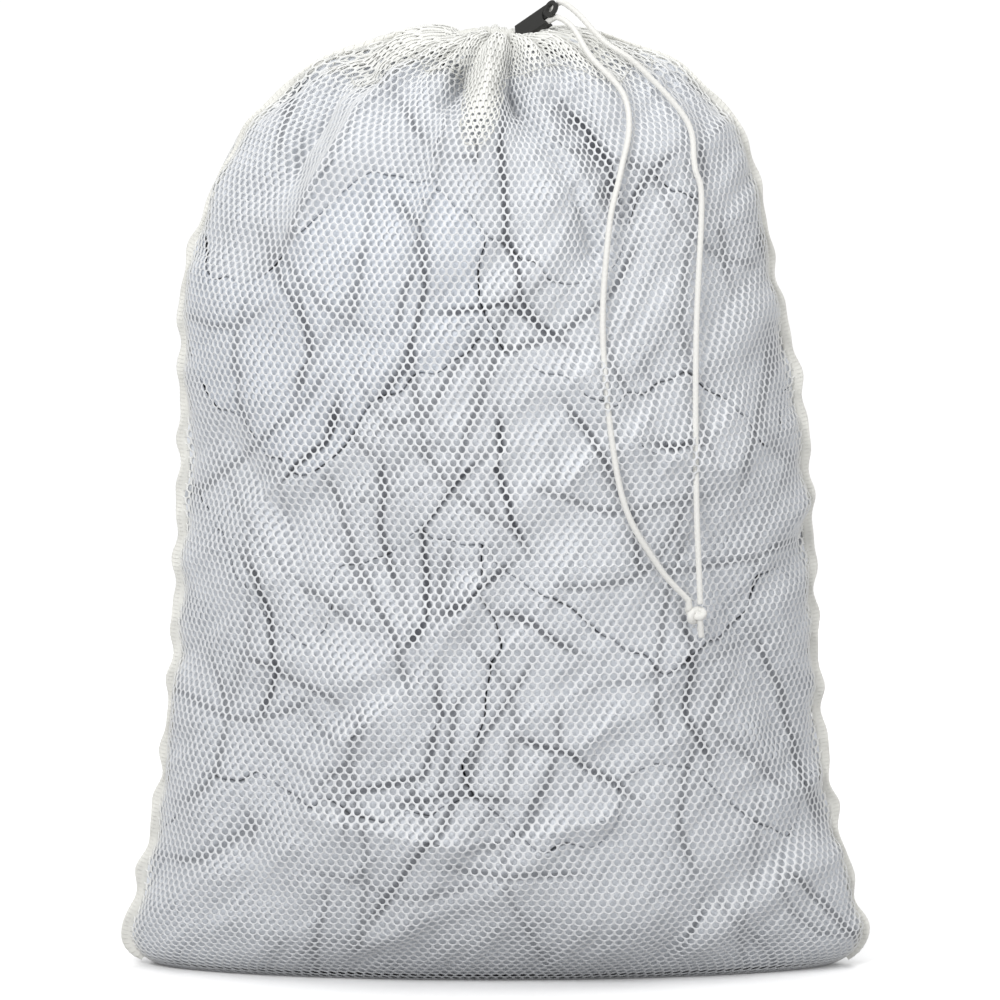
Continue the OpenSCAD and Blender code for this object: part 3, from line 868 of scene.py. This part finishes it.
def closed_between(front, back, steps=6):
    """A closed body from two grids of the same size: the grids, and walls between their outer edges."""
    rows, cols = front.shape[:2]
    size = rows * cols
    number = np.arange(size).reshape(rows, cols)
    loop = np.concatenate([number[0, :-1], number[:-1, -1], number[-1, :0:-1], number[:0:-1, 0]])
    a, b = front.reshape(-1, 3)[loop], back.reshape(-1, 3)[loop]
    # Cloth that spans the bag under the mouth sags
    sag = LOAD_SAG * smooth(0.66, 0.68, a[:, 2])[:, None] * [0, 0, 1]
    between = [a + (b - a) * k / steps - sag * math.sin(math.pi * k / steps) for k in range(1, steps)]
    points = np.concatenate([front.reshape(-1, 3), back.reshape(-1, 3)] + between)
    in_walls = [2 * size + k * len(loop) + np.arange(len(loop)) for k in range(steps - 1)]
    rings = [loop] + in_walls + [size + loop]
    walls = [np.stack([p, q, np.roll(q, -1), np.roll(p, -1)], 1) for p, q in zip(rings, rings[1:])]
    faces = np.concatenate([grid_faces(rows, cols), grid_faces(rows, cols, size, flip=True)] + walls)
    return points, faces


def build_laundry():
    """Seven pieces in five layers, each from the left seam to the right or to the split in the middle."""
    split_low, split_high = 0.49, 0.515
    front_creases = list(FRONT_CREASES) + wandering_creases(SMALL_CREASES, 5)
    back_creases = list(BACK_CREASES) + wandering_creases(SMALL_CREASES, 6)
    items = (
        ("folded_sheet", 0, 0.002, 0.998, SHEETING),
        ("left_towel", 1, 0.002, split_low - 0.001, TERRY),
        ("right_towel", 1, split_low + 0.001, 0.998, TERRY),
        ("duvet_cover", 2, 0.002, 0.998, SHEETING),
        ("left_shirt", 3, 0.002, split_high - 0.001, SHIRTING),
        ("right_pillowcase", 3, split_high + 0.001, 0.998, SHEETING),
        ("top_towel", 4, 0.002, 0.998, TERRY),
    )
    for name, layer, left, right, material in items:
        low, high = LAYER_EDGES[layer:layer + 2]
        tall = max(p[1] for p in high) - min(p[1] for p in low)
        size = (int(tall / LOAD_GRID), int((right - left) * FRONT.row_length.max() / LOAD_GRID))
        (front, dark_front), (back, dark_back) = (
            laundry_face(sheet, low, high, left, right, creases, size, layer + 2)
            for sheet, creases in ((FRONT, front_creases), (BACK, back_creases))
        )
        points, faces = closed_between(front, back)
        # Painted shade: the walls between layers take a fixed darkness, the faces that of their creases and
        # edges
        dark = np.full(len(points), PAINTED_WALL_SHADE)
        dark[:2 * front[..., 0].size] = np.concatenate([dark_front.ravel(), dark_back.ravel()])
        piece(f"{name}_cloth", points, faces, material, "bag", (name,), {"crease": dark})


# ---- The side seams ----

FLANGE, FLANGE_IN = 0.0058, 0.0035  # how far the flange stands out from the net's edge, and reaches in
FLANGE_HALF = 0.0015     # half its thickness
LOOPS, LOOP_STEPS = 236, 12  # turns of the overlock thread, and points in each
LOOP_REACH, LOOP_R = 0.0017, 0.00026  # from the flange's middle plane to the thread, and its radius


def seam_line(side):
    """Heights, the net's edge, the way out of it in the plane of the seam, and the flange's width."""
    z = np.linspace(0.006, BAG_H - 0.004, 470)
    edge = np.stack([middle(z)[0] + side * half_w(z), z], 1)
    run = unit(np.gradient(edge, axis=0))
    out = side * np.stack([run[:, 1], -run[:, 0]], 1)
    scallop = 0.0014 + 0.0016 * np.exp(-z / 0.11)
    width = FLANGE + scallop * scallops(z) + 0.0008 * wave(z, 0.029, side)
    # It narrows towards the top, and ends in the hem
    width *= 1 - 0.75 * (z / BAG_H) ** 6
    width *= smooth(BAG_H - 0.003, BAG_H - 0.016, z)
    return z, edge, out, width


def seam_surface(side):
    """The seam's heights, and a function for the points along its flange."""
    z, edge, out, width = seam_line(side)
    ruffle = 0.0018 * wave(z, 0.037, side) + 0.0003 * wave(z, 0.013)

    def place(share, lift):
        """Points at a share of the flange's width and a height over its middle plane."""
        flat = edge + out * (share * (width + FLANGE_IN) - FLANGE_IN)[:, None]
        depth = ruffle * np.clip(share, 0, 1.2) ** 1.5 + lift
        return np.stack([flat[:, 0], depth, flat[:, 1]], 1)

    return z, place


def flange(side, z, place):
    """The ruffled flange, with round edges."""
    turn = full_turn(16)
    across = 0.5 - 0.5 * np.sign(np.cos(turn)) * np.abs(np.cos(turn)) ** 0.6
    lift = FLANGE_HALF * np.sin(turn)
    rings = np.stack([place(a, h) for a, h in zip(across, lift)], axis=1)
    return rings.reshape(-1, 3), grid_faces(len(z), len(turn), wrap=True, flip=side < 0)


def overlock(z, place):
    """The thread wound round the flange's outer half."""
    t = np.linspace(0, 1, LOOPS * LOOP_STEPS)
    spin = 2 * math.pi * LOOPS * t
    at_z = np.interp(t, [0, 1], [0, len(z) - 1])
    centre, wide = (
        np.stack([np.interp(at_z, np.arange(len(z)), a[:, k]) for k in range(3)], 1)
        for a in (place(0.72, 0.0), place(1.0, 0.0) - place(0.42, 0.0))
    )
    path = centre + 0.5 * np.cos(spin)[:, None] * wide
    path[:, 1] += LOOP_REACH * np.sin(spin)
    return tube(path, LOOP_R, 6)


def build_seams():
    for side, label in ((-1, "left"), (1, "right")):
        z, place = seam_surface(side)
        points, faces = flange(side, z, place)
        piece(f"{label}_seam_flange", points, faces, SEAM, "bag", (f"{label}_seam",))
        points, faces = overlock(z, place)
        piece(f"{label}_overlock", points, faces, THREAD, "bag", (f"{label}_seam_thread",))


# ---- The hem ----

# The outline of the hem's ring of pleats: (distance from the mouth's middle, height over the rim)
HEM_OUTLINE = (
    (0.0400, -0.0130), (0.0395, -0.0090), (0.0350, -0.0060), (0.0290, -0.0050),
    (0.0230, -0.0040), (0.0190, -0.0060), (0.0170, -0.0100), (0.0200, -0.0150),
    (0.0290, -0.0160), (0.0370, -0.0155), (0.0400, -0.0130),
)
STITCHES = 120           # in the row round each face
STITCH_R = 0.00042


def under_lock(points):
    """How far the lock presses the hem's pleats down, along its line."""
    off = points - NECK_AT
    beside = off @ unit(np.array([-LOCK_OUT[1], LOCK_OUT[0], 0.0]))
    ahead = off @ unit(np.array([LOCK_OUT[0], LOCK_OUT[1], 0.0]))
    ceiling = NECK_AT[2] - 0.0070 + 0.66 * np.clip(ahead, -0.002, None)
    pressed = smooth(0.013, 0.007, np.abs(beside)) * smooth(-0.012, -0.004, ahead)
    return pressed * np.clip(points[..., 2] - ceiling, 0, None)


def hem_roll():
    """The drawn-in hem: a ring of pleats about the mouth, lower where the lock lies on it."""
    outline = curve([(radius, 0, height) for radius, height in HEM_OUTLINE], 5)[:-1]
    turn = full_turn(640)[None, :]
    radius = outline[:, 0][:, None]
    height = outline[:, 2][:, None]
    wobble = 0.35 * np.sin(3 * turn + 1) + 0.25 * np.sin(5 * turn)
    pleat = np.cos(26 * (turn + 0.10 * wobble)) + 0.5 * np.cos(41 * turn + 2 * wobble + radius * 90)
    upper = smooth(-0.012, -0.002, height)
    radius = radius + 0.0012 * pleat * (1 - upper) + 0.0006 * pleat
    height = height + upper * (0.0011 * pleat + 0.0010 * wobble)
    points = np.stack([
        MOUTH[0] + radius * np.cos(turn),
        MOUTH[1] + radius * np.sin(turn),
        BAG_H + height,
    ], axis=-1)
    points[..., 2] -= upper * under_lock(points)
    rows, cols = points.shape[:2]
    quads = grid_faces(rows + 1, cols, wrap=True)
    return points.reshape(-1, 3), quads % (rows * cols)


def stitch_row(sheet, count):
    """Short straight stitches along the hem's lower edge, as separate capsules."""
    parts = []
    for k in range(count):
        share = (k + 0.5 + np.linspace(-0.30, 0.30, 5)) / count
        ends, normals = sheet.at(hem_edge(sheet, share), share)
        lift = 0.0009 * np.sin(np.linspace(0, math.pi, 5))[:, None] + 0.0002
        radius = STITCH_R * np.sin(np.linspace(0.25, 0.75, 5) * math.pi)
        parts.append(tube(ends + lift * normals, radius, 6))
    return join(parts)


def build_hem():
    """The ring of pleats, and the stitches of both faces."""
    points, faces = hem_roll()
    piece("hem_gathers", points, faces, HEM, "bag", ("hem_casing",))
    points, faces = join([stitch_row(sheet, STITCHES) for sheet in (FRONT, BACK)])
    piece("hem_stitches", points, faces, THREAD, "bag", ("hem_stitching",))


# ---- The cord ----


def centre_line(node, start):
    """The middle of each ring of a CAD cord's mesh, in order from the end nearest to start."""
    mesh = frame["nodes"][node].data
    corners = np.array([v.co for v in mesh.vertices])
    spots, which = np.unique(np.round(corners, 6), axis=0, return_inverse=True)
    which = which.ravel()
    links = np.array([(which[a], which[b]) for a, b in (e.vertices for e in mesh.edges)])
    order = np.argsort(np.linalg.norm(spots - start, axis=1))
    reached = np.zeros(len(spots), bool)
    front = order[:12]
    line = []
    while len(front):
        reached[front] = True
        line.append(spots[front].mean(0))
        ahead = links[np.isin(links[:, 0], front), 1]
        behind = links[np.isin(links[:, 1], front), 0]
        touched = np.concatenate([ahead, behind])
        front = np.unique(touched[~reached[touched]])
    return np.array(line)


def braid(length, turn):
    """A braided cord's surface: strands that wind both ways round it."""
    wind = 2 * math.pi * length / BRAID_TURN
    over = np.maximum(np.cos(3 * turn + 3 * wind), np.cos(3 * turn - 3 * wind))
    return 0.96 + 0.075 * over


def cord_path(side):
    """One cord from the hem, through the lock, over the shoulder and down to the knot."""
    neck = np.array([v.co for v in frame["nodes"][f"{side}_cord_neck"].data.vertices])
    reach = neck @ LOCK_OUT
    end = neck[reach > reach.max() - 0.0005].mean(0)
    start = end - LOCK_OUT * (reach.max() - reach.min() - CORD_R)
    over = centre_line(f"{side}_cord_shoulder", end)
    tail = centre_line(f"{side}_cord_tail", over[-1])
    return curve(np.concatenate([[start], [end - 0.004 * LOCK_OUT], over[1:-1], tail[3:]]), 4)


def knot_path(knot):
    """The near cord's run through the overhand knot: most of a trefoil that faces forwards."""
    turn = np.radians(np.linspace(-60, 240, 60))
    across = KNOT_LOOP * (np.sin(turn) + 2 * np.sin(2 * turn))
    up = 0.85 * KNOT_LOOP * (np.cos(turn) - 2 * np.cos(2 * turn))
    lean = math.radians(-18)
    return np.stack([
        knot[0] - 0.0008 + across * math.cos(lean) - up * math.sin(lean),
        knot[1] - CORD_R * np.sin(3 * turn),
        knot[2] + across * math.sin(lean) + up * math.cos(lean),
    ], 1)


def build_cord(side, knot):
    """One cord, as one tube from the hem to the knot. The near one is tied in the knot round both."""
    path = cord_path(side)
    if side == "near":
        path = np.concatenate([path[:-2], knot_path(knot)])
    path = along(path, CORD_STEP)
    # The braid swells where it is bent tightly in the knot
    in_knot = bell(np.linalg.norm(path - knot, axis=1), 0.010, 4) * (side == "near")
    points, faces = tube(path, CORD_R * (1 + 0.24 * in_knot), 24, shape=braid)
    stands_for = [f"{side}_cord_{part}" for part in ("neck", "shoulder", "tail")]
    obj = piece(f"{side}_cord", points, faces, CORD, stands_for=stands_for)
    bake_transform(obj)


def build_knot_ends(knot):
    """The two cut ends below the knot, one behind the other."""
    stubs = []
    for behind in (0, 1):
        back = 2 * CORD_R * behind
        path = curve([
            knot + (0.0012, back, 0.002),
            knot + (0.0030, back - 0.001, -0.006),
            knot + (0.0038 - 0.0012 * behind, back, -0.0172 + 0.0040 * behind),
        ])
        stubs.append(tube(along(path, CORD_STEP), CORD_R, 24, shape=braid))
    points, faces = join(stubs)
    piece("knot_ends", points, faces, CORD, "cord_tails", ("end_knot",))


def build_cords():
    low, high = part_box("end_knot")
    knot = np.array([(low.x + high.x) / 2, (low.y + high.y) / 2, high.z - KNOT_DOWN])
    for side in ("near", "far"):
        build_cord(side, knot)
    build_knot_ends(knot)


# ---- The carried-over CAD nodes ----


def dress_cad_nodes():
    """The lock and the cord's hidden loop keep their CAD meshes, with materials and softened edges."""
    nodes = frame["nodes"]
    for name, material in (("lock_sleeve", PLASTIC), ("lock_wedge", PLASTIC), ("drawcord_loop", CORD)):
        nodes[name].data.materials.clear()
        nodes[name].data.materials.append(material)
    for name in ("lock_sleeve", "lock_wedge"):
        bevel = nodes[name].modifiers.new("soft_edges", "BEVEL")
        bevel.width = 0.00035
        bevel.segments = 2
        bevel.limit_method = "ANGLE"
        bevel.angle_limit = math.radians(35)


# ---- Floor, light and camera ----


def build_stage():
    """A round sheet of white paper: pure white to the camera away from the bag's shadow, and duller to the
    light that it throws back."""
    reach, corners = 1.7, 64
    n = Nodes("paper_floor")
    seen = n.add("ShaderNodeLightPath").outputs["Is Camera Ray"]
    grain = n.noise(900, 2).outputs["Fac"]
    n.set(
        Base_Color=n.between(seen, (0.50, 0.50, 0.51), (0.95, 0.95, 0.95)),
        Emission_Color=n.between(seen, (0, 0, 0), (1, 1, 1)),
        Emission_Strength=0.07,
        Roughness=0.9,
        Normal=n.bump(grain, 0.0001, 0.2),
    )
    turn = full_turn(corners)
    edge = np.stack([reach * np.cos(turn), reach * np.sin(turn), 0 * turn], 1)
    mesh = bpy.data.meshes.new("floor")
    mesh.from_pydata(edge.tolist(), [], [tuple(range(corners))])
    mesh.materials.append(n.material)
    new_object("floor", mesh)


def area_light(name, place, target, size, power):
    """A round soft light that faces the target."""
    data = bpy.data.lights.new(name, "AREA")
    data.shape = "DISK"
    data.size = size
    data.energy = power
    obj = new_object(name, data)
    obj.location = place
    obj.rotation_euler = (Vector(target) - Vector(place)).to_track_quat("-Z", "Y").to_euler()


def build_light():
    """A white room and four soft lights round the bag."""
    world = bpy.data.worlds.new("studio")
    bpy.context.scene.world = world
    world.use_nodes = True
    tree = world.node_tree
    background = tree.nodes["Background"]
    background.inputs["Color"].default_value = (1, 1, 1, 1)
    # The paper behind the bag is pure white to the camera, but the room lights the bag less than that
    path = tree.nodes.new("ShaderNodeLightPath")
    strength = tree.nodes.new("ShaderNodeMapRange")
    strength.inputs["To Min"].default_value = 0.50
    strength.inputs["To Max"].default_value = 1.05
    tree.links.new(path.outputs["Is Camera Ray"], strength.inputs["Value"])
    tree.links.new(strength.outputs[0], background.inputs["Strength"])
    middle_of_bag = (0, 0, BAG_H / 2)
    area_light("key", (-1.3, -2.5, 1.9), middle_of_bag, 1.6, 66)
    area_light("top", (0.1, -0.6, 2.8), middle_of_bag, 2.2, 24)
    area_light("fill", (2.2, -1.8, 1.0), middle_of_bag, 1.6, 19)
    area_light("back", (0.5, 2.6, 1.8), middle_of_bag, 1.8, 44)


def build_camera():
    """The photo's view: from far off, a little from above, at the photo's scale."""
    tilt, distance, per_pixel, pixels = math.radians(9), 30.0, 0.000733, 1000
    aim = Vector((0.0037, 0, 0.3450))
    data = bpy.data.cameras.new("photo_view")
    data.sensor_width = 36
    data.lens = data.sensor_width * distance / (per_pixel * pixels)
    camera = new_object("photo_view", data)
    camera.location = aim + distance * Vector((0, -math.cos(tilt), math.sin(tilt)))
    camera.rotation_euler = (math.pi / 2 - tilt, 0, 0)
    bpy.context.scene.camera = camera


build_nets()
build_laundry()
build_seams()
build_hem()
build_cords()
dress_cad_nodes()
build_stage()
build_light()
build_camera()
bpy.context.scene.view_settings.view_transform = "Standard"
